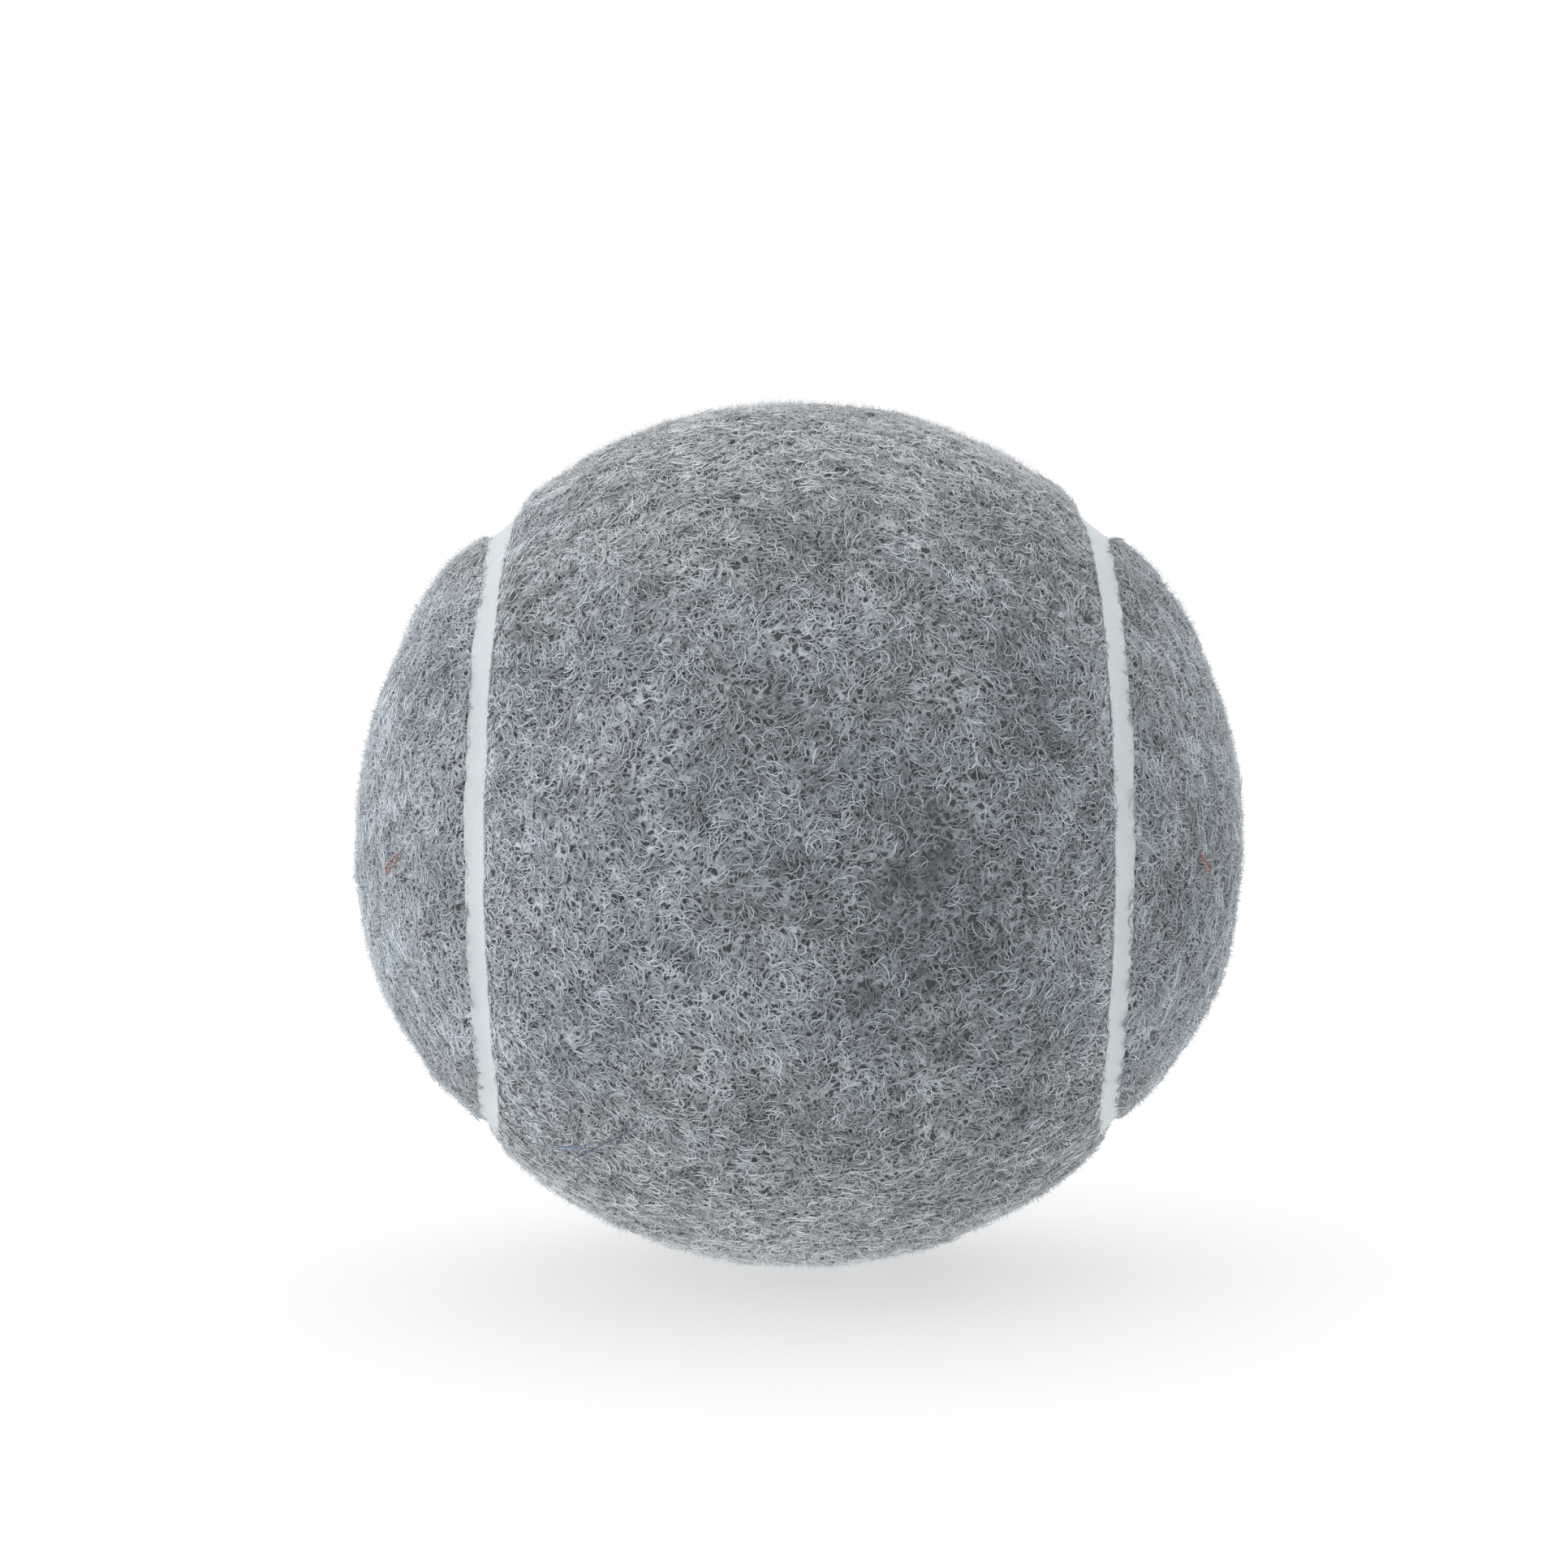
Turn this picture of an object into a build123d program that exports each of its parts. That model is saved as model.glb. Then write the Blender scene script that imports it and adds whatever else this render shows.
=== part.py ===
"""A tennis ball: a hollow rubber core in two halves, two cemented felt panels and the seam between them.

Millimetres, with +Z up and the origin at the centre of the ball. The view in the photograph looks along +Y, straight
at the waist of the front panel.

The seam is made of four half circles. In front of the XZ plane they run round the X axis, and behind it round the
Z axis, so they meet without a kink on the lines at 45 degrees between those axes.
"""

import math
import os

from build123d import *

# The ball as a whole
ball_diameter = 67.0

# Layers, from the outside to the inside
felt_thickness = 3.3
cement_thickness = 0.25
core_wall = 3.25
joint_thickness = 0.3

# The seam
seam_gap = 1.8  # between the side walls of the two panels
seam_depth = 1.1  # from the top of the felt to the middle of the seam
seam_hollow_radius = 6.0  # the seam's surface is hollow across
shoulder_radius = 2.4  # where the felt rolls down to the seam

# Sizes that follow from the ones above
felt_radius = ball_diameter / 2
cement_radius = felt_radius - felt_thickness
core_radius = cement_radius - cement_thickness
hollow_radius = core_radius - core_wall
wedge_tip = seam_gap / 2 * math.sqrt(2)
hollow_centre = felt_radius - seam_depth + seam_hollow_radius


def panel_profile(inner_radius: float, outer_radius: float, edge_radius: float) -> Sketch:
    """The cross-section of a panel between two seams, whose side walls keep half the gap from each seam's middle."""
    with BuildSketch() as profile:
        Circle(outer_radius)
        Circle(inner_radius, mode=Mode.SUBTRACT)
        with BuildLine():
            Polyline(
                (0, wedge_tip),
                (outer_radius, wedge_tip + outer_radius),
                (-outer_radius, wedge_tip + outer_radius),
                close=True,
            )
        make_face(mode=Mode.INTERSECT)
        if edge_radius > 0:
            fillet(profile.vertices().sort_by_distance((0, 0, 0))[-2:], radius=edge_radius)
    return profile.sketch


def panel(inner_radius: float, outer_radius: float, edge_radius: float = 0) -> BuildPart:
    """The front panel: a waist from the top round the front to the bottom, with a round lobe behind at each end."""
    cross_section = panel_profile(inner_radius, outer_radius, edge_radius)
    with BuildSketch(Plane.XZ) as waist_profile:
        add(cross_section)
    with BuildSketch(Plane.XZ) as lobe_profile:
        add(cross_section)
        Rectangle(outer_radius, 2 * outer_radius, align=(Align.MIN, Align.CENTER), mode=Mode.INTERSECT)
    with BuildPart() as lobe:
        revolve(lobe_profile.sketch, axis=Axis.Z, revolution_arc=180)
    with BuildPart() as whole:
        revolve(waist_profile.sketch, axis=Axis.X, revolution_arc=180)
        add(lobe.part)
        add(lobe.part, rotation=(0, 180, 0))
    return whole


# The core, in two halves, and the ring of cement that joins them
with BuildPart() as core_shell_upper:
    with BuildSketch(Plane.XZ) as shell_profile:
        Circle(core_radius)
        Circle(hollow_radius, mode=Mode.SUBTRACT)
        with Locations((0, joint_thickness / 2)):
            Rectangle(core_radius, core_radius, align=(Align.MIN, Align.MIN), mode=Mode.INTERSECT)
    revolve(axis=Axis.Z)

with BuildPart() as core_shell_lower:
    add(core_shell_upper.part, rotation=(0, 180, 0))

with BuildPart() as core_joint_ring:
    with BuildSketch(Plane.XZ) as joint_profile:
        Circle(core_radius)
        Circle(hollow_radius, mode=Mode.SUBTRACT)
        Rectangle(core_radius, joint_thickness, align=(Align.MIN, Align.CENTER), mode=Mode.INTERSECT)
    revolve(axis=Axis.Z)

# The panels, which are alike. The back one is turned half round the line at 45 degrees between +X and +Z.
felt_cement_front = panel(core_radius, cement_radius)
felt_front = panel(cement_radius, felt_radius, shoulder_radius)

with BuildPart() as felt_cement_back:
    add(felt_cement_front.part, rotation=(180, 90, 0))

with BuildPart() as felt_back:
    add(felt_front.part, rotation=(180, 90, 0))

# The seam fills the groove between the panels, from the core up to a hollow surface between their shoulders
groove_side = panel_profile(core_radius, felt_radius, shoulder_radius)

with BuildSketch(Plane.XZ) as seam_profile:
    with PolarLocations(core_radius, 1, start_angle=45):
        Rectangle(2 * (hollow_centre - core_radius), seam_gap + shoulder_radius)
    Circle(core_radius, mode=Mode.SUBTRACT)
    with PolarLocations(hollow_centre, 1, start_angle=45):
        Circle(seam_hollow_radius, mode=Mode.SUBTRACT)
    add(groove_side, mode=Mode.SUBTRACT)
    add(groove_side, rotation=-90, mode=Mode.SUBTRACT)

with BuildPart() as seam_arc_front:
    revolve(seam_profile.sketch, axis=Axis.X, revolution_arc=180)

with BuildPart() as seam_arc_back:
    revolve(seam_profile.sketch, axis=Axis.Z, revolution_arc=180)

with BuildPart() as seam_strip:
    add(seam_arc_front.part)
    add(seam_arc_back.part)
    add(seam_arc_front.part, rotation=(0, 180, 0))
    add(seam_arc_back.part, rotation=(0, 180, 0))

# One file for each piece
pieces = {
    "core_shell_upper": core_shell_upper,
    "core_shell_lower": core_shell_lower,
    "core_joint_ring": core_joint_ring,
    "felt_cement_front": felt_cement_front,
    "felt_cement_back": felt_cement_back,
    "felt_front": felt_front,
    "felt_back": felt_back,
    "seam_strip": seam_strip,
}
os.makedirs("parts", exist_ok=True)
for node, piece in pieces.items():
    piece.part.label = node
    export_step(piece.part, f"parts/{node}.step")
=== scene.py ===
"""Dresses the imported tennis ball: felt panels with a nap of curled fibres, the seam and the hidden core.

Everything is in metres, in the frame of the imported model: the origin is the centre of the ball, +Z is up, and
the camera looks along +Y at the waist of the front panel.
"""

import logging
import math
from abc import ABC, abstractmethod
from dataclasses import dataclass, field
from enum import Enum
from typing import Any, Sequence

import bmesh
import bpy
import numpy as np
from bpy.types import Material, Mesh, Object
from mathutils import Matrix, Vector


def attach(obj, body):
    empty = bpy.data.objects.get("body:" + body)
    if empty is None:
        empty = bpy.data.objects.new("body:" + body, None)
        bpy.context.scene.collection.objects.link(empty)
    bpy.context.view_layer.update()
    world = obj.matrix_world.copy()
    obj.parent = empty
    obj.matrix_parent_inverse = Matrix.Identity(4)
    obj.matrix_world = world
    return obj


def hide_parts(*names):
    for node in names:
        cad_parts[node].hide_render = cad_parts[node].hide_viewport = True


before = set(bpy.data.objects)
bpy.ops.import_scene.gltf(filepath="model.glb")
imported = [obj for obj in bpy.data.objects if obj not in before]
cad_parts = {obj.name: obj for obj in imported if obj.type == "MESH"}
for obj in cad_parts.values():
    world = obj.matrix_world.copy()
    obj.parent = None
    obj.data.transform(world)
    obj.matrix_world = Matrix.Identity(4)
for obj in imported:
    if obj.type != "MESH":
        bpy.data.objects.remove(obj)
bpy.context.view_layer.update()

MM = 0.001
TINY = 1e-12
EIGHTH_TURN = math.pi / 4
BODY = "root"
Array = np.ndarray
BMesh = bmesh.types.BMesh
Colour = tuple[float, float, float]
Place = tuple[float, float, float]
Range = tuple[float, float]
log = logging.getLogger("tennis_ball")


class Signal:
    """A value on its way through a node tree. Arithmetic on it adds Math nodes."""

    def __init__(self, nodes: "Nodes", socket: bpy.types.NodeSocket) -> None:
        """Wraps a socket of the tree."""
        self.nodes = nodes
        self.socket = socket

    def _math(self, operation: str, first: Any, second: Any) -> "Signal":
        """Adds one Math node and returns its value."""
        return self.nodes.add("ShaderNodeMath", {"operation": operation}, {0: first, 1: second})

    def __add__(self, other: Any) -> "Signal":
        """Sum."""
        return self._math("ADD", self, other)

    def __sub__(self, other: Any) -> "Signal":
        """Difference."""
        return self._math("SUBTRACT", self, other)

    def __rsub__(self, other: Any) -> "Signal":
        """Difference from a number on the left."""
        return self._math("SUBTRACT", other, self)

    def __mul__(self, other: Any) -> "Signal":
        """Product."""
        return self._math("MULTIPLY", self, other)

    def at_least(self, other: Any) -> "Signal":
        """The larger of two values."""
        return self._math("MAXIMUM", self, other)


class Nodes:
    """The nodes of one material or world."""

    def __init__(self, owner: Material | bpy.types.World) -> None:
        """Empties the owner's node tree.

        Args:
            owner: what the nodes belong to.
        """
        owner.use_nodes = True
        self.tree = owner.node_tree
        self.tree.nodes.clear()

    def add(
        self,
        kind: str,
        settings: dict[str, Any] | None = None,
        inputs: dict[str | int, Any] | None = None,
        output: str | int = 0,
    ) -> Signal:
        """Adds a node.

        Args:
            kind: the node's type name.
            settings: properties of the node, set first. "stops" gives a colour ramp's stops.
            inputs: a constant or a Signal for each socket, by name or number.
            output: the output that is wanted.

        Returns:
            The wanted output.
        """
        node = self.tree.nodes.new(kind)
        for name, value in (settings or {}).items():
            if name == "stops":
                self._set_stops(node.color_ramp, value)
            else:
                setattr(node, name, value)
        for name, value in (inputs or {}).items():
            if isinstance(value, Signal):
                self.tree.links.new(value.socket, node.inputs[name])
            else:
                node.inputs[name].default_value = value
        return Signal(self, node.outputs[output]) if node.outputs else Signal(self, node.inputs[0])

    @staticmethod
    def _set_stops(ramp: bpy.types.ColorRamp, stops: Sequence[tuple[float, Colour]]) -> None:
        """Gives a ramp these stops and no others.

        Args:
            ramp: a colour ramp.
            stops: each stop's place and colour.
        """
        while len(ramp.elements) < len(stops):
            ramp.elements.new(1.0)
        for element, (place, colour) in zip(ramp.elements, stops):
            element.position = place
            element.color = (*colour, 1.0)

    def place(self) -> Signal:
        """The point on the piece, in metres."""
        return self.add("ShaderNodeTexCoord", output="Object")

    def attribute(self, name: str) -> Signal:
        """A value that the piece holds at each of its points."""
        return self.add("ShaderNodeAttribute", {"attribute_name": name}, output="Fac")

    def noise(self, size: float, detail: float = 3.0, roughness: float = 0.5) -> Signal:
        """Noise whose lumps are about this large, in metres."""
        inputs = {"Vector": self.place(), "Scale": 1.0 / size, "Detail": detail, "Roughness": roughness}
        return self.add("ShaderNodeTexNoise", inputs=inputs)

    def spread(
        self, value: Signal, low: float, high: float, to_low: float = 0.0, to_high: float = 1.0
    ) -> Signal:
        """Maps a range of values to another one, and holds the result inside it."""
        inputs = {"Value": value, "From Min": low, "From Max": high, "To Min": to_low, "To Max": to_high}
        return self.add("ShaderNodeMapRange", {"clamp": True}, inputs)

    def ramp(self, value: Signal, stops: Sequence[tuple[float, Colour]]) -> Signal:
        """A colour from a value."""
        return self.add("ShaderNodeValToRGB", {"stops": stops}, {"Fac": value})

    def mix(self, share: Any, first: Any, second: Any, how: str = "MIX") -> Signal:
        """Mixes two colours.

        Args:
            share: how much of the second one there is.
            first: a colour.
            second: a colour.
            how: the way of blending them.

        Returns:
            The mixed colour.
        """
        settings = {"data_type": "RGBA", "blend_type": how, "clamp_factor": True}
        first, second = ((*c, 1.0) if isinstance(c, tuple) else c for c in (first, second))
        return self.add("ShaderNodeMix", settings, {0: share, 6: first, 7: second}, output=2)

    def bump(self, height: Signal, depth: float) -> Signal:
        """A normal from a height between 0 and 1, which stands for this depth in metres."""
        return self.add("ShaderNodeBump", inputs={"Height": height, "Distance": depth, "Strength": 1.0})

    def finish(self, **inputs: Any) -> None:
        """Ends the tree in one Principled shader.

        Args:
            inputs: a constant or a Signal for each socket, with _ for a space in its name.
        """
        sockets = {name.replace("_", " "): value for name, value in inputs.items()}
        surface = self.add("ShaderNodeBsdfPrincipled", inputs=sockets)
        self.add("ShaderNodeOutputMaterial", inputs={"Surface": surface})


class Finish(ABC):
    """How the surface of a piece looks."""

    def material(self, name: str) -> Material:
        """Makes a material of this finish.

        Args:
            name: the material's name.

        Returns:
            The material.
        """
        made = bpy.data.materials.new(name)
        self.paint(Nodes(made))
        return made

    @abstractmethod
    def paint(self, nodes: Nodes) -> None:
        """Fills a material's empty node tree."""


@dataclass(frozen=True)
class WoolTint:
    """The cast of the grey wool: cooler in the middle of a panel, warmer towards its ends."""

    warm: Colour = (0.972, 1.0, 1.03)
    cool: Colour = (0.90, 1.0, 1.09)

    def cast(self, nodes: Nodes, colour: Signal) -> Signal:
        """Tints a grey by the piece's attribute "cool"."""
        tint = nodes.mix(nodes.attribute("cool"), self.warm, self.cool)
        return nodes.mix(1.0, colour, tint, "MULTIPLY")


@dataclass(frozen=True)
class NapFinish(Finish):
    """The fibres on top of the cloth: light grey wool and nylon."""

    deep: float = 0.19
    middle: float = 0.56
    pale: float = 0.97
    roughness: float = 0.85
    specular: float = 0.2
    sheen: float = 0.35
    tint: WoolTint = WoolTint()

    def paint(self, nodes: Nodes) -> None:
        """Colours each fibre by its own shade, which is in the piece's attribute "shade".

        Args:
            nodes: the material's nodes.
        """
        greys = ((0.0, self.deep), (0.5, self.middle), (1.0, self.pale))
        colour = nodes.ramp(nodes.attribute("shade"), [(place, (grey,) * 3) for place, grey in greys])
        nodes.finish(
            Base_Color=self.tint.cast(nodes, colour),
            Roughness=self.roughness,
            Specular_IOR_Level=self.specular,
            Sheen_Weight=self.sheen,
        )


@dataclass(frozen=True)
class FeltFinish(Finish):
    """The matted ground of the cloth under the nap: curled strands over dark gaps, painted dark as painted
    shade under the nap.
    """

    gap_painted_shade: float = 0.08
    strand: float = 0.53
    size: float = 0.8 * MM
    full_width: float = 0.016
    edge_width: float = 0.048
    layers: tuple[float, ...] = (1.0, 0.8, 0.62, 0.45)
    layer_step: float = 3.7
    waviness: float = 0.4
    relief: float = 0.08 * MM
    roughness: float = 0.95
    specular: float = 0.15
    sheen: float = 0.15
    tint: WoolTint = WoolTint()

    def paint(self, nodes: Nodes) -> None:
        """Lays strands over each other. The cloth's shade is in the piece's attribute "shade".

        Args:
            nodes: the material's nodes.
        """
        mat = self._strands(nodes, 0)
        for number in range(1, len(self.layers)):
            mat = mat.at_least(self._strands(nodes, number))
        # Painted shade: the colour follows the strands' height, so the deeper strands are darker and the gaps
        # darkest.
        grey = mat * nodes.attribute("shade") * (2 * (self.strand - self.gap_painted_shade)) + self.gap_painted_shade
        colour = nodes.add("ShaderNodeCombineColor", inputs={"Red": grey, "Green": grey, "Blue": grey})
        nodes.finish(
            Base_Color=self.tint.cast(nodes, colour),
            Roughness=self.roughness,
            Specular_IOR_Level=self.specular,
            Sheen_Weight=self.sheen,
            Normal=nodes.bump(mat, self.relief),
        )

    def _strands(self, nodes: Nodes, number: int) -> Signal:
        """One layer of curled strands, which follow the middle level of a noise.

        Args:
            nodes: the material's nodes.
            number: which layer it is.

        Returns:
            The layer's height: that of the layer on the strands, and 0 between them.
        """
        inputs = {
            "Vector": nodes.place(),
            "W": self.layer_step * number,
            "Scale": 1 / self.size,
            "Detail": 1.0,
            "Roughness": self.waviness,
        }
        noise = nodes.add("ShaderNodeTexNoise", {"noise_dimensions": "4D"}, inputs)
        away = nodes.add("ShaderNodeMath", {"operation": "ABSOLUTE"}, {0: noise - 0.5})
        return nodes.spread(away, self.full_width, self.edge_width, self.layers[number], 0.0)


@dataclass(frozen=True)
class RubberFinish(Finish):
    """Moulded rubber or cured cement: a fine grain, and broad, faint blooms of another shade."""

    base: Colour
    bloom: Colour
    grain_size: float
    bloom_size: float
    relief: float
    roughness: Range
    bloom_share: float = 0.7
    grain_share: float = 0.3
    bloom_range: Range = (0.35, 0.7)
    grain_range: Range = (0.3, 0.7)
    rough_range: Range = (0.3, 0.7)
    grain_detail: float = 4.0
    grain_roughness: float = 0.6
    specular: float = 0.5

    def paint(self, nodes: Nodes) -> None:
        """Mixes the two shades by the grain and the blooms, and roughens the surface by the grain.

        Args:
            nodes: the material's nodes.
        """
        grain = nodes.noise(self.grain_size, self.grain_detail, self.grain_roughness)
        bloom = nodes.spread(nodes.noise(self.bloom_size), *self.bloom_range)
        share = bloom * self.bloom_share + nodes.spread(grain, *self.grain_range, 0.0, self.grain_share)
        nodes.finish(
            Base_Color=nodes.mix(share, self.base, self.bloom),
            Roughness=nodes.spread(grain, *self.rough_range, *self.roughness),
            Specular_IOR_Level=self.specular,
            Normal=nodes.bump(grain, self.relief),
        )


SEAM_RUBBER = RubberFinish(
    base=(0.655, 0.71, 0.73), bloom=(0.58, 0.64, 0.655), grain_size=0.3 * MM, bloom_size=5 * MM,
    relief=0.03 * MM, roughness=(0.7, 0.9), bloom_share=0.6, grain_share=0.6, bloom_range=(0.35, 0.75),
    grain_range=(0.35, 0.7), specular=0.3,
)
CORE_RUBBER = RubberFinish(
    base=(0.075, 0.075, 0.08), bloom=(0.16, 0.16, 0.165), grain_size=0.5 * MM, bloom_size=20 * MM,
    relief=0.05 * MM, roughness=(0.5, 0.7),
)
CORE_CEMENT = RubberFinish(
    base=(0.13, 0.10, 0.075), bloom=(0.22, 0.18, 0.13), grain_size=0.4 * MM, bloom_size=16 * MM,
    relief=0.04 * MM, roughness=(0.6, 0.8),
)
FELT_CEMENT = RubberFinish(
    base=(0.55, 0.47, 0.35), bloom=(0.66, 0.59, 0.46), grain_size=0.6 * MM, bloom_size=24 * MM,
    relief=0.06 * MM, roughness=(0.65, 0.85),
)


def unit(vectors: Array) -> Array:
    """Vectors of length 1 in the same directions."""
    return vectors / np.linalg.norm(vectors, axis=-1, keepdims=True)


class Waves:
    """A smooth random field in space, made of a few dozen plane waves."""

    def __init__(self, rng: np.random.Generator, shortest: float, longest: float, count: int = 40) -> None:
        """Draws the waves.

        Args:
            rng: the source of chance.
            shortest: shortest wavelength, in metres.
            longest: longest wavelength, in metres.
            count: how many waves there are.
        """
        length = np.exp(rng.uniform(math.log(shortest), math.log(longest), count))
        self.vectors = unit(rng.normal(size=(count, 3))) * (2 * math.pi / length)[:, None]
        self.phases = rng.uniform(0, 2 * math.pi, count)
        self.scale = math.sqrt(2 / count)

    def at(self, points: Array) -> Array:
        """The field at these points, with a mean of about 0 and a spread of about 1."""
        return np.sin(points @ self.vectors.T + self.phases).sum(axis=1) * self.scale


class Side(Enum):
    """Which of the two panels a piece belongs to."""

    FRONT = "front"
    BACK = "back"

    def seat(self) -> Matrix:
        """Finds how the front panel is turned into this one.

        Returns:
            No turn, or half a turn round the line between +X and +Z.
        """
        if self is Side.FRONT:
            return Matrix.Identity(4)
        return Matrix(((0, 0, 1, 0), (0, -1, 0, 0), (1, 0, 0, 0), (0, 0, 0, 1)))


@dataclass(frozen=True)
class StainOrPaintedLight:
    """A patch where the cloth is darker or paler than elsewhere: a stain, or a patch of painted light."""

    place: Place
    radius: float
    shade: float
    cool: float = 0.0


@dataclass
class WearAndPaintedLight:
    """How the cloth's shade and cast vary over the ball: by wear and stains, and by painted light at the bottom
    of the front.
    """

    stains_and_light: tuple[StainOrPaintedLight, ...] = (
        # Two broad patches darken the middle of each waist, at the front and at the back, and two pale ones
        # make the front paler on its left and at its top.
        StainOrPaintedLight((5 * MM, -33 * MM, -1 * MM), 16 * MM, -0.07, 0.1),
        StainOrPaintedLight((8 * MM, -32 * MM, -2.5 * MM), 6 * MM, -0.16, 0.3),
        StainOrPaintedLight((9.3 * MM, -32 * MM, 1 * MM), 3 * MM, -0.15, 0.1),
        StainOrPaintedLight((6.8 * MM, -33 * MM, -1.8 * MM), 2.4 * MM, -0.18, 0.1),
        StainOrPaintedLight((3.3 * MM, -33 * MM, -9 * MM), 2.6 * MM, -0.18, 0.2),
        StainOrPaintedLight((11 * MM, -31 * MM, -13.5 * MM), 3 * MM, -0.16),
        StainOrPaintedLight((8.3 * MM, -31 * MM, 13 * MM), 3 * MM, -0.14),
        StainOrPaintedLight((-3 * MM, -31 * MM, 12 * MM), 3 * MM, -0.10),
        StainOrPaintedLight((-8 * MM, -32 * MM, 5 * MM), 4 * MM, -0.09, 0.3),
        StainOrPaintedLight((-15 * MM, -28 * MM, -10 * MM), 3 * MM, -0.10, 0.2),
        StainOrPaintedLight((14 * MM, -30 * MM, -18 * MM), 9 * MM, -0.07),
        StainOrPaintedLight((-17 * MM, -29 * MM, 0), 10 * MM, 0.09, 0.1),
        StainOrPaintedLight((0, -18 * MM, 28 * MM), 12 * MM, 0.04),
        # Painted light: the bottom of the front is painted paler, a painted pool of light from below.
        StainOrPaintedLight((0, -6 * MM, -33 * MM), 14 * MM, 0.16),
        StainOrPaintedLight((3 * MM, 33 * MM, 0), 16 * MM, -0.07, 0.1),
        StainOrPaintedLight((8 * MM, 32 * MM, 5 * MM), 5 * MM, -0.13, 0.3),
        StainOrPaintedLight((-12 * MM, 28 * MM, -14 * MM), 6 * MM, -0.10, 0.1),
        StainOrPaintedLight((22 * MM, 14 * MM, 20 * MM), 6 * MM, -0.09, 0.2),
        StainOrPaintedLight((-28 * MM, 12 * MM, -10 * MM), 6 * MM, -0.10, 0.2),
    )
    paler: float = 0.05
    tuft_size: Range = (1.6 * MM, 4.5 * MM)
    tuft_shade: float = 0.07
    cloud_size: Range = (7 * MM, 24 * MM)
    cloud_shade: float = 0.055
    darker_side: float = 0.07
    darker_reach: float = 30 * MM
    thinning: float = 2.3
    thinnest: float = 0.7
    cool_waist: float = 0.75
    warm_ends: float = 0.7
    ends: Range = (0.4, 0.95)
    cast_size: Range = (6 * MM, 20 * MM)
    cast_share: float = 0.08
    seed: int = 5
    tufts: Waves = field(init=False)
    clouds: Waves = field(init=False)
    casts: Waves = field(init=False)

    def __post_init__(self) -> None:
        """Draws the fields of the mottling."""
        rng = np.random.default_rng(self.seed)
        self.tufts = Waves(rng, *self.tuft_size, count=90)
        self.clouds = Waves(rng, *self.cloud_size, count=50)
        self.casts = Waves(rng, *self.cast_size, count=50)

    def shade(self, points: Array) -> Array:
        """Works out how the cloth's shade changes: by wear, mottling and stains, darker towards +X, and by
        painted light.

        Args:
            points: points on the ball, one row each.

        Returns:
            What is added to the shade at each point.
        """
        total = self.paler + self.tuft_shade * self.tufts.at(points)
        total += self.cloud_shade * self.clouds.at(points)
        total -= self.darker_side * points[:, 0] / self.darker_reach
        for mark in self.stains_and_light:
            total += mark.shade * self._spot(mark, points)
        return total

    def thin(self, points: Array) -> Array:
        """What share of the nap is worn off at these points."""
        total = sum(min(mark.shade, 0) * self._spot(mark, points) for mark in self.stains_and_light)
        return (-self.thinning * total).clip(0, self.thinnest)

    def cool(self, points: Array) -> Array:
        """Works out the cast of the cloth.

        Args:
            points: points on the ball, one row each.

        Returns:
            How cool it is at each point, from 0 to 1.
        """
        ends = np.interp(np.abs(unit(points)[:, 2]), self.ends, (0, 1))
        total = self.cool_waist - self.warm_ends * ends + self.cast_share * self.casts.at(points)
        for mark in self.stains_and_light:
            total += mark.cool * self._spot(mark, points)
        return total.clip(0, 1)

    @staticmethod
    def _spot(mark: StainOrPaintedLight, points: Array) -> Array:
        """How strong a stain is at these points, from 0 to 1."""
        away = np.linalg.norm(points - np.array(mark.place), axis=1)
        return np.exp(-((away / mark.radius) ** 2))


@dataclass(frozen=True)
class Swell:
    """A place on both flanks where the ball stands out, or in, a little."""

    place: Place
    radius: float
    height: float

    def at(self, directions: Array) -> Array:
        """Works out how far the ball swells.

        Args:
            directions: unit vectors from the centre, one row each.

        Returns:
            What is added to the radius in each direction.
        """
        middle = np.array(self.place) / math.hypot(*self.place)
        near = np.abs(directions[:, :1]) * (1, 0, 0) + directions * (0, 1, 1)
        return self.height * np.exp(-((1 - near @ middle) * 2 / self.radius**2))


@dataclass(frozen=True)
class Nick:
    """A height on the front seams where the rubber is suddenly wider, and then narrows again."""

    height: float
    run: float
    waist: float
    lobe: float
    step: float = 0.25 * MM

    def at(self, points: Array, on_waist: Array) -> Array:
        """Widens the seam at this nick.

        Args:
            points: points on the ball, one row each.
            on_waist: which of them are on the waist's side of the seam.

        Returns:
            How far the seam's edge is moved out at each point.
        """
        past = (points[:, 2] - self.height) * math.copysign(1, self.run)
        share = (past / self.step).clip(0, 1) * np.exp(-past.clip(0, None) / abs(self.run))
        return share * np.where(on_waist, self.waist, self.lobe) * (points[:, 1] < 0)


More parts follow.
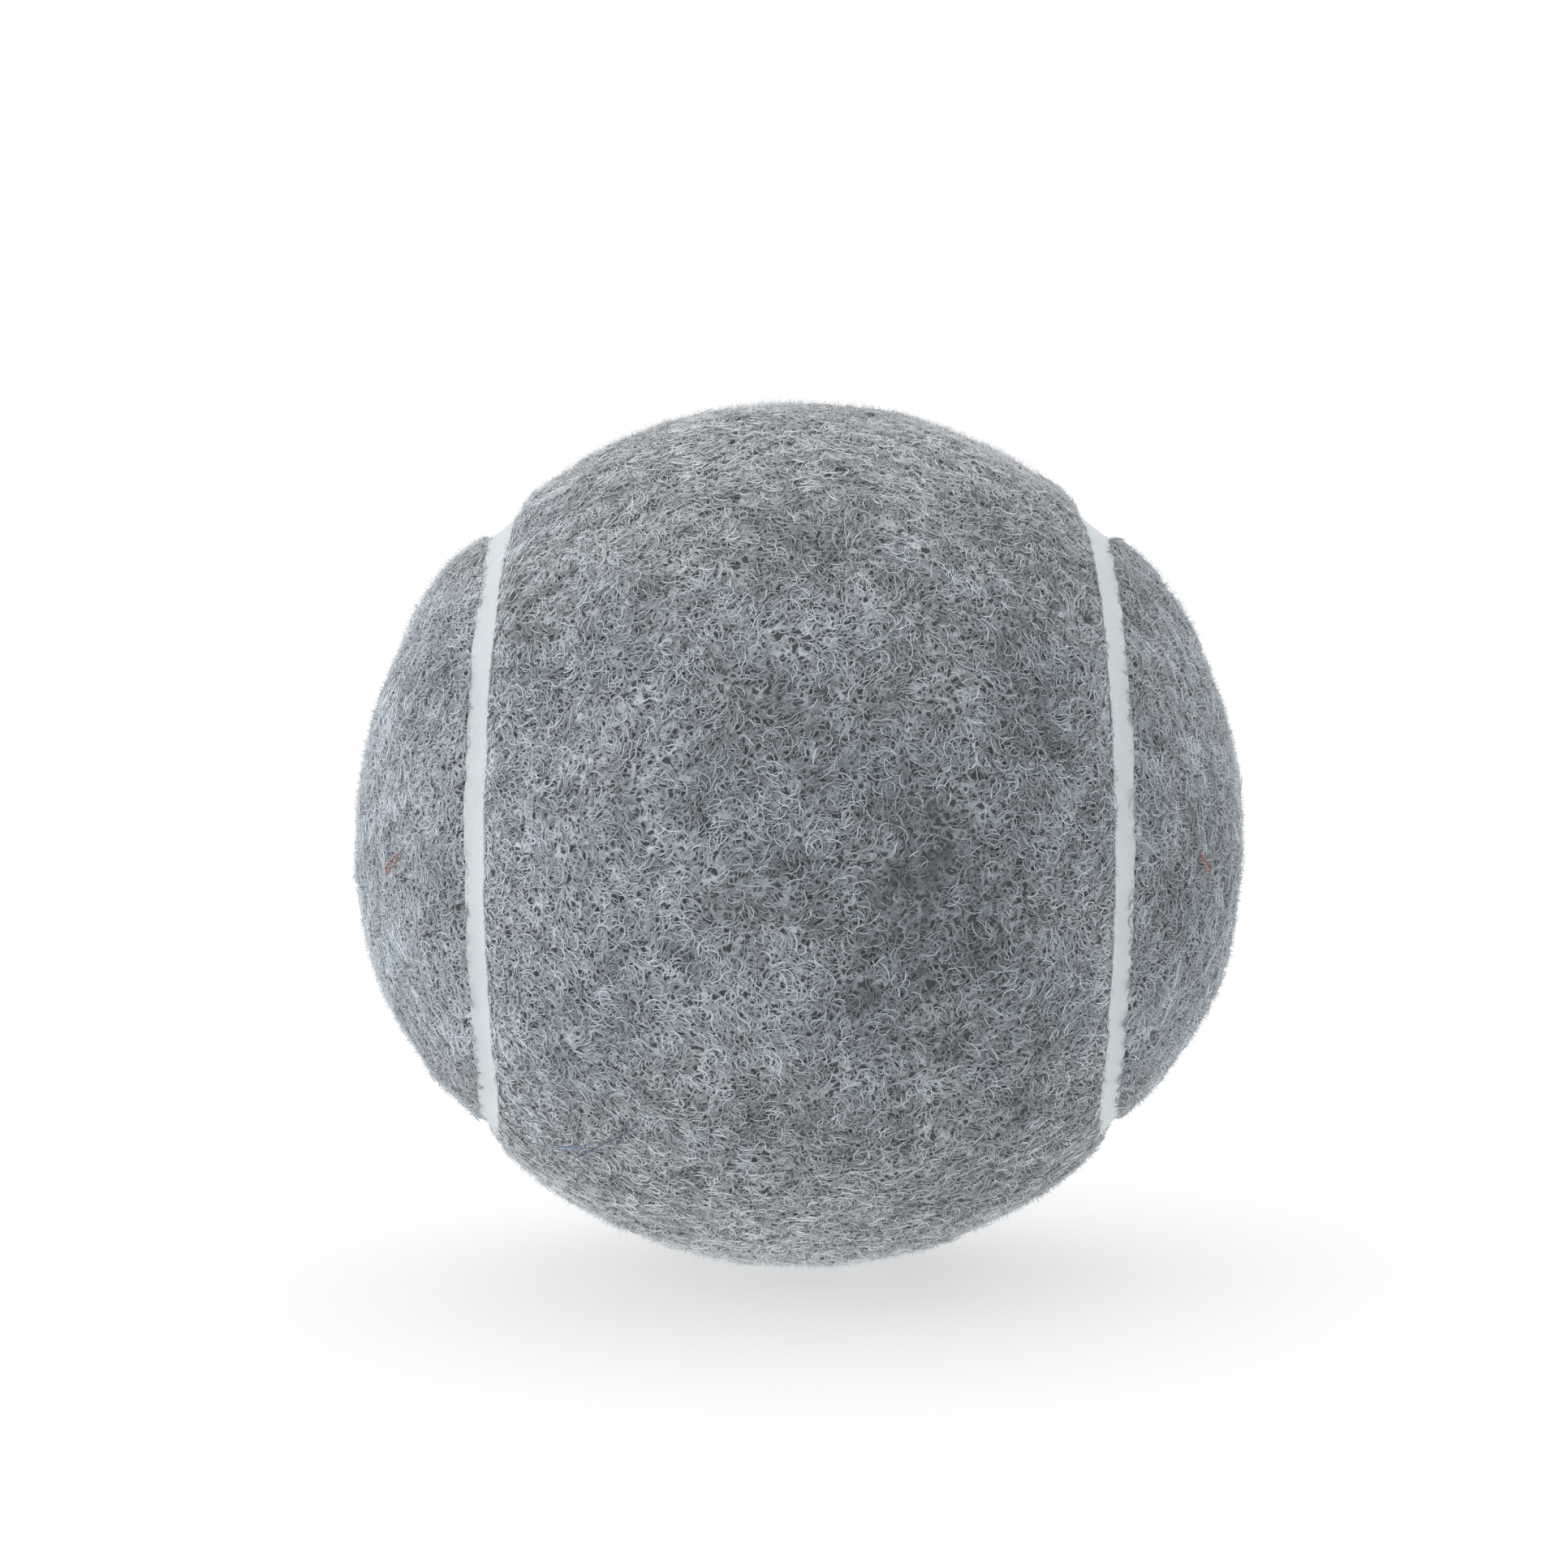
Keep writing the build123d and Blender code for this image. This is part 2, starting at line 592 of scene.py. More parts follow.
@dataclass
class BallShape:
    """The outside of the ball as a height over each direction from its centre."""

    radius: float = 33.5 * MM
    seam_radius: float = 32.7 * MM
    seam_width: float = 1.15 * MM
    seam_hollow: float = 3.0 * MM
    waist_drop: float = 0.78 * MM
    waist_shoulder: float = 2.9 * MM
    lobe_drop: float = 0.5 * MM
    lobe_shoulder: float = 4.5 * MM
    lobe_wall_drop: float = 0.5 * MM
    lobe_wall: float = 0.7 * MM
    lobe_start: float = 0.15
    cement_radius: float = 30.2 * MM
    core_radius: float = 29.95 * MM
    stretch: Place = (1.008, 1.0, 0.981)
    pinch: float = 1.15 * MM
    bow: float = 1.6 * MM
    bow_end: float = 0.72
    bend: float = 0.7
    upper_shift: float = 1.3 * MM
    upper_shift_run: float = 0.37
    lower_shift: float = -2.1 * MM
    lower_shift_run: float = 0.3
    shift_heights: Range = (0.2, 0.5)
    pinch_width: float = 18 * MM
    gap_width: float = 5 * MM
    gap_run: float = 0.166
    upper_gap: float = 1.15 * MM
    lower_gap: float = -0.45 * MM
    edge_wander: float = 0.055 * MM
    swells: tuple[Swell, ...] = (
        Swell((0.80, -0.1, 0.58), 0.16, 0.25 * MM),
        Swell((0.94, -0.1, -0.34), 0.14, 0.30 * MM),
        Swell((0.79, -0.1, -0.60), 0.16, -0.45 * MM),
        Swell((0.55, -0.1, 0.83), 0.22, -0.28 * MM),
        Swell((0.55, -0.1, -0.83), 0.22, -0.28 * MM),
    )
    nicks: tuple[Nick, ...] = (
        Nick(20.1 * MM, 4 * MM, 0.0, 0.18 * MM),
        Nick(-16.6 * MM, -1.6 * MM, 0.45 * MM, 0.0),
    )
    broad_size: Range = (6 * MM, 25 * MM)
    fine_size: Range = (1.5 * MM, 5 * MM)
    edge_size: Range = (1.3 * MM, 6 * MM)
    lump: float = 0.09 * MM
    broad_share: float = 0.8
    fine_share: float = 0.6
    edge_firmness: float = 0.65
    slope_step: float = 0.15 * MM
    seed: int = 7
    broad: Waves = field(init=False)
    fine: Waves = field(init=False)
    edges: tuple[Waves, Waves] = field(init=False)

    def __post_init__(self) -> None:
        """Draws the fields that make the cloth uneven."""
        rng = np.random.default_rng(self.seed)
        self.broad = Waves(rng, *self.broad_size)
        self.fine = Waves(rng, *self.fine_size, count=60)
        self.edges = (Waves(rng, *self.edge_size, count=60), Waves(rng, *self.edge_size, count=60))

    def reach(self, directions: Array) -> Array:
        """Measures how far directions are from the middle of the seam.

        Args:
            directions: unit vectors from the centre, one row each.

        Returns:
            Metres over the ball: positive on the front panel, negative on the back one.
        """
        away = np.abs(directions).clip(0, 1)
        in_front = np.arccos(away[:, 0]) - EIGHTH_TURN
        behind = EIGHTH_TURN - np.arccos(away[:, 2])
        return np.where(directions[:, 1] < 0, in_front, behind) * self.radius

    def inset(self, directions: Array) -> Array:
        """How far each direction is inside the front panel's edge, in metres."""
        return self.reach(directions) - self.seam_width / 2

    def up_shoulder(self, directions: Array) -> Array:
        """How far each direction is up the waist's shoulder: 0 at the felt's edge, and 1 from the top on."""
        return (self.inset(directions) / self.waist_shoulder).clip(0, 1)

    def height(self, directions: Array) -> Array:
        """Finds the felt's top on the front panel, which is lumpy and rolls down to the seam. The lobes,
        which lie behind, end in a steeper edge than the waist.

        Args:
            directions: unit vectors from the centre, one row each.

        Returns:
            The top's radius in each direction.
        """
        inside = self.inset(directions).clip(0, None)

        def fallen(drop: float, width: float) -> Array:
            """A roll that falls by this drop over this width."""
            return drop * (1 - inside / width).clip(0, 1) ** 2

        waist = fallen(self.waist_drop, self.waist_shoulder)
        lobe = fallen(self.lobe_drop, self.lobe_shoulder) + fallen(self.lobe_wall_drop, self.lobe_wall)
        lobes = np.interp(directions[:, 1], (-self.lobe_start, self.lobe_start), (0, 1))
        points = directions * self.radius
        uneven = self.broad_share * self.broad.at(points) + self.fine_share * self.fine.at(points)
        loose = 1 - self.edge_firmness + self.edge_firmness * self.up_shoulder(directions)
        return self.radius - waist * (1 - lobes) - lobe * lobes + self.lump * uneven * loose

    def upright(self, directions: Array) -> Array:
        """Finds how the felt's top faces.

        Args:
            directions: unit vectors from the centre, one row each.

        Returns:
            The outward normal in each direction.
        """
        step = self.slope_step / self.radius
        first, second = tangents(directions)
        slope = np.zeros_like(directions)
        for along in (first, second):
            rise = self.height(unit(directions + step * along)) - self.height(unit(directions - step * along))
            slope += along * (rise / (2 * step * self.radius))[:, None]
        return unit(directions - slope)

    def placed(self, points: Array) -> Array:
        """Moves points from a round ball with an even seam to this one, which is wider than it is tall. Its
        seams run closer together over each waist and vary in width.

        Args:
            points: points on the round ball, one row each.

        Returns:
            Where they lie on this ball.
        """
        radii = np.linalg.norm(points, axis=1, keepdims=True)
        directions = points / radii
        reach = self.reach(directions)
        side = np.where(directions[:, 1] < 0, 1, -1)
        pole = np.zeros_like(points)
        pole[:, 0] = np.where(side > 0, np.copysign(1, directions[:, 0]), 0)
        pole[:, 2] = np.where(side < 0, np.copysign(1, directions[:, 2]), 0)
        from_pole = np.arccos((directions * pole).sum(axis=1).clip(-1, 1))
        aside = self._shift(directions, reach) + self._gap(directions, reach)
        turned = from_pole + (self._run(directions, reach) + side * aside) / self.radius
        across = unit(directions - pole * np.cos(from_pole)[:, None] + TINY)
        directions = pole * np.cos(turned)[:, None] + across * np.sin(turned)[:, None]
        radii[:, 0] += sum(swell.at(directions) for swell in self.swells)
        return directions * radii * np.array(self.stretch)

    def _run(self, directions: Array, reach: Array) -> Array:
        """Moves the seam towards the middle of each waist: more at the waist's ends than halfway, and not at
        all where the seam crosses from one panel's waist to the other's.

        Args:
            directions: unit vectors from the centre, one row each.
            reach: each one's distance from the middle of the seam.

        Returns:
            How far each is moved towards its waist's middle, in metres.
        """
        depth = np.abs(directions[:, 1])
        start = (depth / self.bend).clip(0, 1)
        full = self.pinch + self.bow * (self.bow_end - depth).clip(0, None)
        return full * start * (2 - start) * self._near(reach)

    def _shift(self, directions: Array, reach: Array) -> Array:
        """Moves the seam where it crosses: towards the front waist above, away from it below.

        Args:
            directions: unit vectors from the centre, one row each.
            reach: each one's distance from the middle of the seam.

        Returns:
            How far each is moved towards the front waist, in metres.
        """
        above = np.interp(directions[:, 2], self.shift_heights, (0, 1))
        below = np.interp(-directions[:, 2], self.shift_heights, (0, 1))
        upper = self.upper_shift * np.exp(-((directions[:, 1] / self.upper_shift_run) ** 2)) * above
        lower = self.lower_shift * np.exp(-((directions[:, 1] / self.lower_shift_run) ** 2)) * below
        return (upper + lower) * self._near(reach)

    def _near(self, reach: Array) -> Array:
        """How much of the seam's move reaches this far: all of it on the seam, none at the pinch's width."""
        return 0.5 + 0.5 * np.cos(math.pi * (np.abs(reach) / self.pinch_width).clip(0, 1))

    def _gap(self, directions: Array, reach: Array) -> Array:
        """Moves the seam's edges apart, or together.

        Args:
            directions: unit vectors from the centre, one row each.
            reach: each one's distance from the middle of the seam.

        Returns:
            How far each is moved towards the front panel, in metres.
        """
        half = self.seam_width / 2
        joins = 1 / (1 + (directions[:, 1] / self.gap_run) ** 2)
        wide = joins * np.where(directions[:, 2] > 0, self.upper_gap, self.lower_gap)
        points = directions * self.radius
        wide += self.edge_wander * np.where(reach > 0, self.edges[0].at(points), self.edges[1].at(points))
        wide += sum(nick.at(points, reach > 0) for nick in self.nicks)
        near = (1 - (np.abs(reach) - half).clip(0, None) / self.gap_width).clip(0, 1) ** 2
        return wide * (reach / half).clip(-1, 1) * near


def tangents(directions: Array) -> tuple[Array, Array]:
    """Finds two directions square to each direction and to each other.

    Args:
        directions: unit vectors, one row each.

    Returns:
        The two. The first one is level, but for directions that are steep.
    """
    steep = 0.8
    helper = np.where(np.abs(directions[:, 2:]) < steep, [[0.0, 0.0, 1.0]], [[1.0, 0.0, 0.0]])
    first = unit(np.cross(helper, directions))
    return first, np.cross(directions, first)


def between(first: Array, second: Array, turn: Array) -> Array:
    """Directions turned this far from the first ones towards the second ones."""
    return np.cos(turn)[:, None] * first + np.sin(turn)[:, None] * second


def in_scene(name: str, data: bpy.types.ID) -> Object:
    """Adds an object to the scene.

    Args:
        name: the object's name.
        data: the mesh, lamp or camera that it shows.

    Returns:
        The object.
    """
    made = bpy.data.objects.new(name, data)
    bpy.context.scene.collection.objects.link(made)
    return made


def to_mesh(made: BMesh, name: str) -> Mesh:
    """Turns what was modelled into a mesh.

    Args:
        made: what was modelled. It is freed.
        name: the mesh's name.

    Returns:
        The mesh.
    """
    mesh = bpy.data.meshes.new(name)
    made.to_mesh(mesh)
    made.free()
    return mesh


def coordinates(mesh: Mesh) -> Array:
    """Reads the mesh's points.

    Args:
        mesh: any mesh.

    Returns:
        The points, one row each.
    """
    found = np.empty(len(mesh.vertices) * 3, np.float32)
    mesh.vertices.foreach_get("co", found)
    return found.reshape(-1, 3).astype(float)


def move_to(mesh: Mesh, points: Array) -> None:
    """Puts the mesh's points at these places."""
    mesh.vertices.foreach_set("co", points.astype(np.float32).ravel())
    mesh.update()


def new_piece(name: str, mesh: Mesh, material: Material) -> Object:
    """Makes a piece of the ball from a mesh.

    Args:
        name: the piece's name.
        mesh: its mesh, in place.
        material: its finish.

    Returns:
        The new object, which rides on the ball's only body.
    """
    mesh.name = name
    mesh.materials.clear()
    mesh.materials.append(material)
    mesh.shade_smooth()
    piece = in_scene(name, mesh)
    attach(piece, BODY)
    log.info("%s: %d points, %d faces", name, len(mesh.vertices), len(mesh.polygons))
    return piece


def add_values(mesh: Mesh, name: str, values: Array) -> None:
    """Gives each point of the mesh a value, which the finish reads by this name."""
    attribute = mesh.attributes.new(name, "FLOAT", "POINT")
    attribute.data.foreach_set("value", values.astype(np.float32))


def rod(stations: int) -> BMesh:
    """Makes one fibre, a three-sided rod with pointed ends, whose Z counts the stations along it.

    Args:
        stations: how many stations there are, with both tips.

    Returns:
        The fibre, with one tip at the origin.
    """
    rings = stations - 2
    made = bmesh.new()
    bmesh.ops.create_cone(made, cap_ends=True, segments=3, radius1=1.0, radius2=1.0, depth=rings - 1)
    sides = [e for e in made.edges if abs(e.verts[0].co.z - e.verts[1].co.z) > 0.5]
    if rings > 2:
        bmesh.ops.subdivide_edges(made, edges=sides, cuts=rings - 2, use_grid_fill=True)
    caps = [f for f in made.faces if len(f.verts) == 3]
    tips = bmesh.ops.poke(made, faces=caps)["verts"]
    for tip in tips:
        tip.co.z += math.copysign(1.0, tip.co.z)
    bmesh.ops.triangulate(made, faces=made.faces)
    bmesh.ops.translate(made, verts=made.verts, vec=(0, 0, (stations - 1) / 2))
    bmesh.ops.recalc_face_normals(made, faces=made.faces)
    return made


def bend_along(
    paths: Array, ways: Array, up: Array, half: Array, template: Array
) -> Array:
    """Bends a copy of a rod along each path.

    Args:
        paths: each fibre's stations.
        ways: each fibre's direction at each station.
        up: each fibre's upright, at each station or for all of them.
        half: half of each fibre's thickness.
        template: the rod's points.

    Returns:
        All points, fibre by fibre.
    """
    across = unit(np.cross(ways, up))
    above = np.cross(across, ways)
    station = np.rint(template[:, 2]).astype(int)
    offset = template[None, :, :1] * across[:, station] + template[None, :, 1:2] * above[:, station]
    return paths[:, station] + offset * half[:, None, None]


def copies(one: BMesh, count: int) -> tuple[Mesh, Array]:
    """Makes this many copies of one fibre, all in one place.

    Args:
        one: the fibre, along Z. It is freed.
        count: how many fibres there are.

    Returns:
        The mesh of all of them, and one fibre's points.
    """
    mesh = to_mesh(one, "fibre")
    template = coordinates(mesh)
    holder = in_scene("fibre", mesh)
    array = holder.modifiers.new("copies", "ARRAY")
    array.count = count
    array.use_relative_offset = False
    graph = bpy.context.evaluated_depsgraph_get()
    made = bpy.data.meshes.new_from_object(holder.evaluated_get(graph))
    bpy.data.objects.remove(holder)
    return made, template


def lay_out(mesh: Mesh, template: Array, count: int) -> None:
    """Gives each fibre a small square of its own on the UV map OFBake.

    Args:
        mesh: all the fibres.
        template: one fibre's points.
        count: how many fibres there are.
    """
    margin, half_width, lean = 0.1, 0.35, 0.1
    side = math.ceil(math.sqrt(count))
    number = np.arange(count)
    corner = np.stack([number % side, number // side], 1)
    along = margin + (1 - 2 * margin) * template[:, 2] / template[:, 2].max()
    across = 0.5 + half_width * template[:, 0] + lean * template[:, 1]
    places = (corner[:, None] + np.stack([along, across], 1)[None]) / side
    vertex = np.empty(len(mesh.loops), np.int32)
    mesh.loops.foreach_get("vertex_index", vertex)
    layer = mesh.uv_layers.new(name="OFBake")
    layer.uv.foreach_set("vector", places.reshape(-1, 2)[vertex].astype(np.float32).ravel())


@dataclass
class FeltPanel:
    """One felt panel: a waisted band with a round lobe at each end, stretched over half of the core."""

    side: Side
    shape: BallShape
    wear_and_light: WearAndPaintedLight
    nap_depth: float = 0.42 * MM
    edge_nap_depth: float = 0.12 * MM
    seat_gap: float = 0.04 * MM
    ground_shade: float = 0.5
    darkest: float = 0.1
    finish: FeltFinish = FeltFinish()
    subdivisions: int = 7
    cut_tolerance: float = 1e-6
    cut_join: float = 1e-4

    def ground(self, directions: Array) -> Array:
        """The radius of the matted ground under the nap, in each direction."""
        deeper = (self.nap_depth - self.edge_nap_depth) * np.sqrt(self.shape.up_shoulder(directions))
        return self.shape.height(directions) - (self.edge_nap_depth + deeper)

    def seated(self, points: Array) -> Array:
        """Points of the front panel moved to where this panel lies."""
        return points @ np.array(self.side.seat().to_3x3()).T

    def build(self) -> Object:
        """Cuts the panel out of a ball, lays it over the core and gives it its thickness.

        Returns:
            The matted ground of the panel.
        """
        cloth = bmesh.new()
        bmesh.ops.create_icosphere(cloth, subdivisions=self.subdivisions, radius=1.0)
        self._cut(cloth)
        directions = unit(np.array([v.co for v in cloth.verts]))
        for vertex, place in zip(cloth.verts, directions * self.ground(directions)[:, None]):
            vertex.co = place
        bmesh.ops.recalc_face_normals(cloth, faces=cloth.faces)
        bmesh.ops.solidify(cloth, geom=cloth.faces, thickness=self.shape.radius - self.shape.cement_radius)
        bmesh.ops.triangulate(cloth, faces=cloth.faces)
        bmesh.ops.recalc_face_normals(cloth, faces=cloth.faces)
        mesh = to_mesh(cloth, "felt")
        points = coordinates(mesh)
        radii = np.linalg.norm(points, axis=1, keepdims=True)
        middle = (self.shape.cement_radius + self.shape.seam_radius) / 2
        points = self.shape.placed(self.seated(points))
        inner = unit(points) * (self.shape.cement_radius + self.seat_gap)
        points = np.where(radii < middle, inner, points)
        move_to(mesh, points)
        add_values(mesh, "shade", (self.ground_shade + self.wear_and_light.shade(points)).clip(self.darkest, 1))
        add_values(mesh, "cool", self.wear_and_light.cool(points))
        name = f"felt_{self.side.value}_ground"
        piece = new_piece(name, mesh, self.finish.material(f"felt_ground_{self.side.value}"))
        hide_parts(f"felt_{self.side.value}")
        return piece

    def lay(
        self, name: str, fibres: tuple[Mesh, Array], points: Array, shade: Array, material: Material
    ) -> Object:
        """Makes a piece of fibres that lie on this panel.

        Args:
            name: the piece's name.
            fibres: the mesh of all the fibres, and one fibre's points.
            points: where all their points lie on the front panel, fibre by fibre.
            shade: each fibre's own shade, before the wear, the stains and the painted light.
            material: the fibres' finish.

        Returns:
            The new piece.
        """
        mesh, template = fibres
        points = self.shape.placed(self.seated(points.reshape(-1, 3)))
        move_to(mesh, points)
        middles = points.reshape(len(shade), -1, 3).mean(axis=1)
        shade = (shade + self.wear_and_light.shade(middles)).clip(0, 1)
        add_values(mesh, "shade", np.repeat(shade, len(template)))
        add_values(mesh, "cool", np.repeat(self.wear_and_light.cool(middles), len(template)))
        lay_out(mesh, template, len(shade))
        return new_piece(name, mesh, material)

    def _cut(self, ball: BMesh) -> None:
        """Keeps the part of a ball of radius 1 that lies on the front panel.

        Args:
            ball: the ball, which is cut.
        """
        edge = self.shape.seam_width / 2 / self.shape.radius
        waist, lobe = math.cos(EIGHTH_TURN + edge), math.cos(EIGHTH_TURN - edge)
        cuts = [((0, 0, 0), (0, 1, 0), 0)]
        cuts += [((s * waist, 0, 0), (1, 0, 0), -1) for s in (-1, 1)]
        cuts += [((0, 0, s * lobe), (0, 0, 1), 1) for s in (-1, 1)]
        for point, normal, half in cuts:
            faces = [f for f in ball.faces if f.calc_center_median().y * half >= 0]
            edges = {e for f in faces for e in f.edges}
            verts = {v for f in faces for v in f.verts}
            geometry = [*faces, *edges, *verts]
            bmesh.ops.bisect_plane(
                ball, geom=geometry, dist=self.cut_tolerance, plane_co=point, plane_no=normal
            )
        centres = unit(np.array([f.calc_center_median() for f in ball.faces]))
        outside = [f for f, inset in zip(ball.faces[:], self.shape.inset(centres)) if inset < 0]
        bmesh.ops.delete(ball, geom=outside, context="FACES")
        bmesh.ops.remove_doubles(ball, verts=ball.verts, dist=self.cut_join)


@dataclass(frozen=True)
class Layer:
    """One layer of the nap, by how its fibres lie: ranges of sizes in metres, of tilts and of shades."""

    name: str
    length: Range
    thickness: Range
    root: Range
    rise: Range
    fall: Range
    curl: float
    shade: Range


# The shade ranges rise from the low layer to the top one: each fibre's tone is random within its layer, and the
# deeper layers are painted darker, as painted shade in the nap.
LOW = Layer(
    name="low", length=(1.5 * MM, 2.5 * MM), thickness=(0.11 * MM, 0.14 * MM), root=(0.0, 0.10 * MM),
    rise=(0.0, 0.12), fall=(-0.12, 0.05), curl=2.4, shade=(0.10, 0.40),
)
CURL_A = Layer(
    name="curl_a", length=(1.5 * MM, 2.4 * MM), thickness=(0.10 * MM, 0.125 * MM),
    root=(0.05 * MM, 0.18 * MM), rise=(0.0, 0.12), fall=(-0.15, 0.05), curl=2.7, shade=(0.16, 0.56),
)
CURL_B = Layer(
    name="curl_b", length=(1.4 * MM, 2.3 * MM), thickness=(0.09 * MM, 0.115 * MM),
    root=(0.10 * MM, 0.24 * MM), rise=(0.0, 0.14), fall=(-0.16, 0.05), curl=2.9, shade=(0.24, 0.72),
)
CURL_C = Layer(
    name="curl_c", length=(1.3 * MM, 2.2 * MM), thickness=(0.08 * MM, 0.105 * MM),
    root=(0.16 * MM, 0.30 * MM), rise=(0.0, 0.16), fall=(-0.18, 0.06), curl=3.1, shade=(0.33, 0.88),
)
TOP = Layer(
    name="top", length=(1.0 * MM, 1.8 * MM), thickness=(0.07 * MM, 0.09 * MM),
    root=(0.20 * MM, 0.34 * MM), rise=(0.0, 0.2), fall=(-0.22, 0.1), curl=3.3, shade=(0.43, 1.0),
)


@dataclass
class Nap:
    """The fibres of one panel, in layers."""

    panel: FeltPanel
    layers: Sequence[Layer] = (LOW, CURL_A, CURL_B, CURL_C, TOP)
    fibres: int = 8000
    tries: int = 6
    stations: int = 5
    edge_length: float = 0.5
    swirl_size: Range = (2.5 * MM, 14 * MM)
    tuft_size: Range = (1.4 * MM, 4 * MM)
    tuft_density: float = 0.72
    tuft_spread: float = 0.35
    heading_spread: float = 0.52
    curl_share: float = 0.74
    curl_spread: float = 0.24
    overhang: float = 0.22 * MM
    comb: float = 0.6
    comb_width: float = 5 * MM
    comb_start: Range = (0.3, 0.6)
    waist_edge: float = 0.23
    lobe_painted_shade: float = -0.04
    waist_fade: float = 0.35 * MM
    lobe_fade: float = 0.8 * MM
    waist_density: float = 0.84
    waist_end: float = 0.6
    lobe_contrast: float = 0.53
    contrast_end: float = 0.55
    worn_shade: float = 0.53
    finish: NapFinish = NapFinish()
    seed: int = 31

    def build(self) -> list[Object]:
        """Makes one piece for each layer.

        Returns:
            The pieces.
        """
        panel = self.panel
        material = self.finish.material(f"felt_nap_{panel.side.value}")
        rng = np.random.default_rng(self.seed + (panel.side is Side.BACK))
        swirl = Waves(rng, *self.swirl_size, count=60)
        density = Waves(rng, *self.tuft_size, count=90)
        pieces = []
        for layer in self.layers:
            roots = self._roots(rng, density)
            paths, ways, up = self._paths(layer, roots, swirl, rng)
            inset = panel.shape.inset(unit(paths.reshape(-1, 3))).reshape(len(roots), -1).min(axis=1)
            kept = inset > -self.overhang * rng.uniform(0, 1, len(roots))
            paths, ways, up, inset, roots = (v[kept][: self.fibres] for v in (paths, ways, up, inset, roots))
            fibres = copies(rod(self.stations), len(paths))
            half = rng.uniform(*layer.thickness, len(paths)) / 2
            points = bend_along(paths, ways, up[:, None], half, fibres[1])
            shade = self._own_shade(rng.uniform(*layer.shade, len(paths)), roots)
            shade += self._edge_shade(roots, inset.clip(0, None))
            name = f"nap_{panel.side.value}_{layer.name}"
            pieces.append(panel.lay(name, fibres, points, shade, material))
        return pieces

    def _own_shade(self, shade: Array, roots: Array) -> Array:
        """The fibres' shades, which are more alike towards the lobes."""
        contrast = np.interp(roots[:, 1], (-self.contrast_end, 0.0), (1.0, self.lobe_contrast))
        return self.worn_shade + (shade - self.worn_shade) * contrast

    def _edge_shade(self, roots: Array, inset: Array) -> Array:
        """Shades the fibres near the seam: paler along the waist, and darker round the lobes, a painted shade
        beside the seam's edge.

        Args:
            roots: the direction of each fibre's middle.
            inset: how far each fibre is inside the felt's edge.

        Returns:
            What is added to each fibre's shade.
        """
        waist = self.waist_edge * np.exp(-inset / self.waist_fade)
        # Painted shade: round the lobes the fibres are darker beside the seam's edge.
        lobe = self.lobe_painted_shade * np.exp(-inset / self.lobe_fade)
        return np.where(roots[:, 1] < 0, waist, lobe)

    def _loose(self, roots: Array) -> Array:
        """How freely the fibres turn: less beside the waist's seams, where they are combed."""
        waist = np.interp(-roots[:, 1], self.comb_start, (0, 1))
        return 1 - self.comb * waist * np.exp(-self.panel.shape.inset(roots) / self.comb_width)

    def _roots(self, rng: np.random.Generator, density: Waves) -> Array:
        """Directions spread at random over the panel, more of them in the tufts than between.

        Args:
            rng: the source of chance.
            density: the field that says where the tufts are.

        Returns:
            The directions, more than are needed.
        """
        directions = unit(rng.normal(size=(self.fibres * self.tries, 3)))
        directions = directions[self.panel.shape.inset(directions) > 0]
        dense = self.tuft_density + self.tuft_spread * density.at(directions * self.panel.shape.radius)
        dense *= np.interp(directions[:, 1], (-self.waist_end, 0.0), (self.waist_density, 1.0))
        dense *= 1 - self.panel.wear_and_light.thin(self.panel.seated(directions * self.panel.shape.radius))
        return directions[rng.uniform(0, 1, len(directions)) < dense]

    def _paths(
        self, layer: Layer, roots: Array, swirl: Waves, rng: np.random.Generator
    ) -> tuple[Array, Array, Array]:
        """Lays the fibres' middle lines over the ground.

        Args:
            layer: how they lie.
            roots: the direction of each fibre's middle from the centre.
            swirl: the field that the fibres' lay follows.
            rng: the source of chance.

        Returns:
            Each fibre's stations, its direction at each, and its upright.
        """
        count, shape = len(roots), self.panel.shape
        up = shape.upright(roots)
        first, second = tangents(up)
        short = self.edge_length + (1 - self.edge_length) * np.sqrt(shape.up_shoulder(roots))
        length = rng.uniform(*layer.length, count) * short
        heading = swirl.at(roots * shape.radius) + rng.normal(0, self.heading_spread, count)
        heading *= self._loose(roots)
        curl = rng.choice((-1, 1), count) * rng.normal(self.curl_share, self.curl_spread, count) * layer.curl
        rise = rng.uniform(*layer.rise, count) * short
        fall = rng.uniform(*layer.fall, count)
        paths = np.empty((count, self.stations, 3))
        ways = np.empty_like(paths)
        paths[:, 0] = roots * (self.panel.ground(roots) + rng.uniform(*layer.root, count) * short)[:, None]
        for k, along in enumerate(np.linspace(0, 1, self.stations)):
            turn = heading + curl * (along - 0.5)
            tilt = rise + (fall - rise) * along
            ways[:, k] = between(between(first, second, turn), up, tilt)
            if k:
                paths[:, k] = paths[:, k - 1] + ways[:, k] * (length / (self.stations - 1))[:, None]
        return paths, ways, up


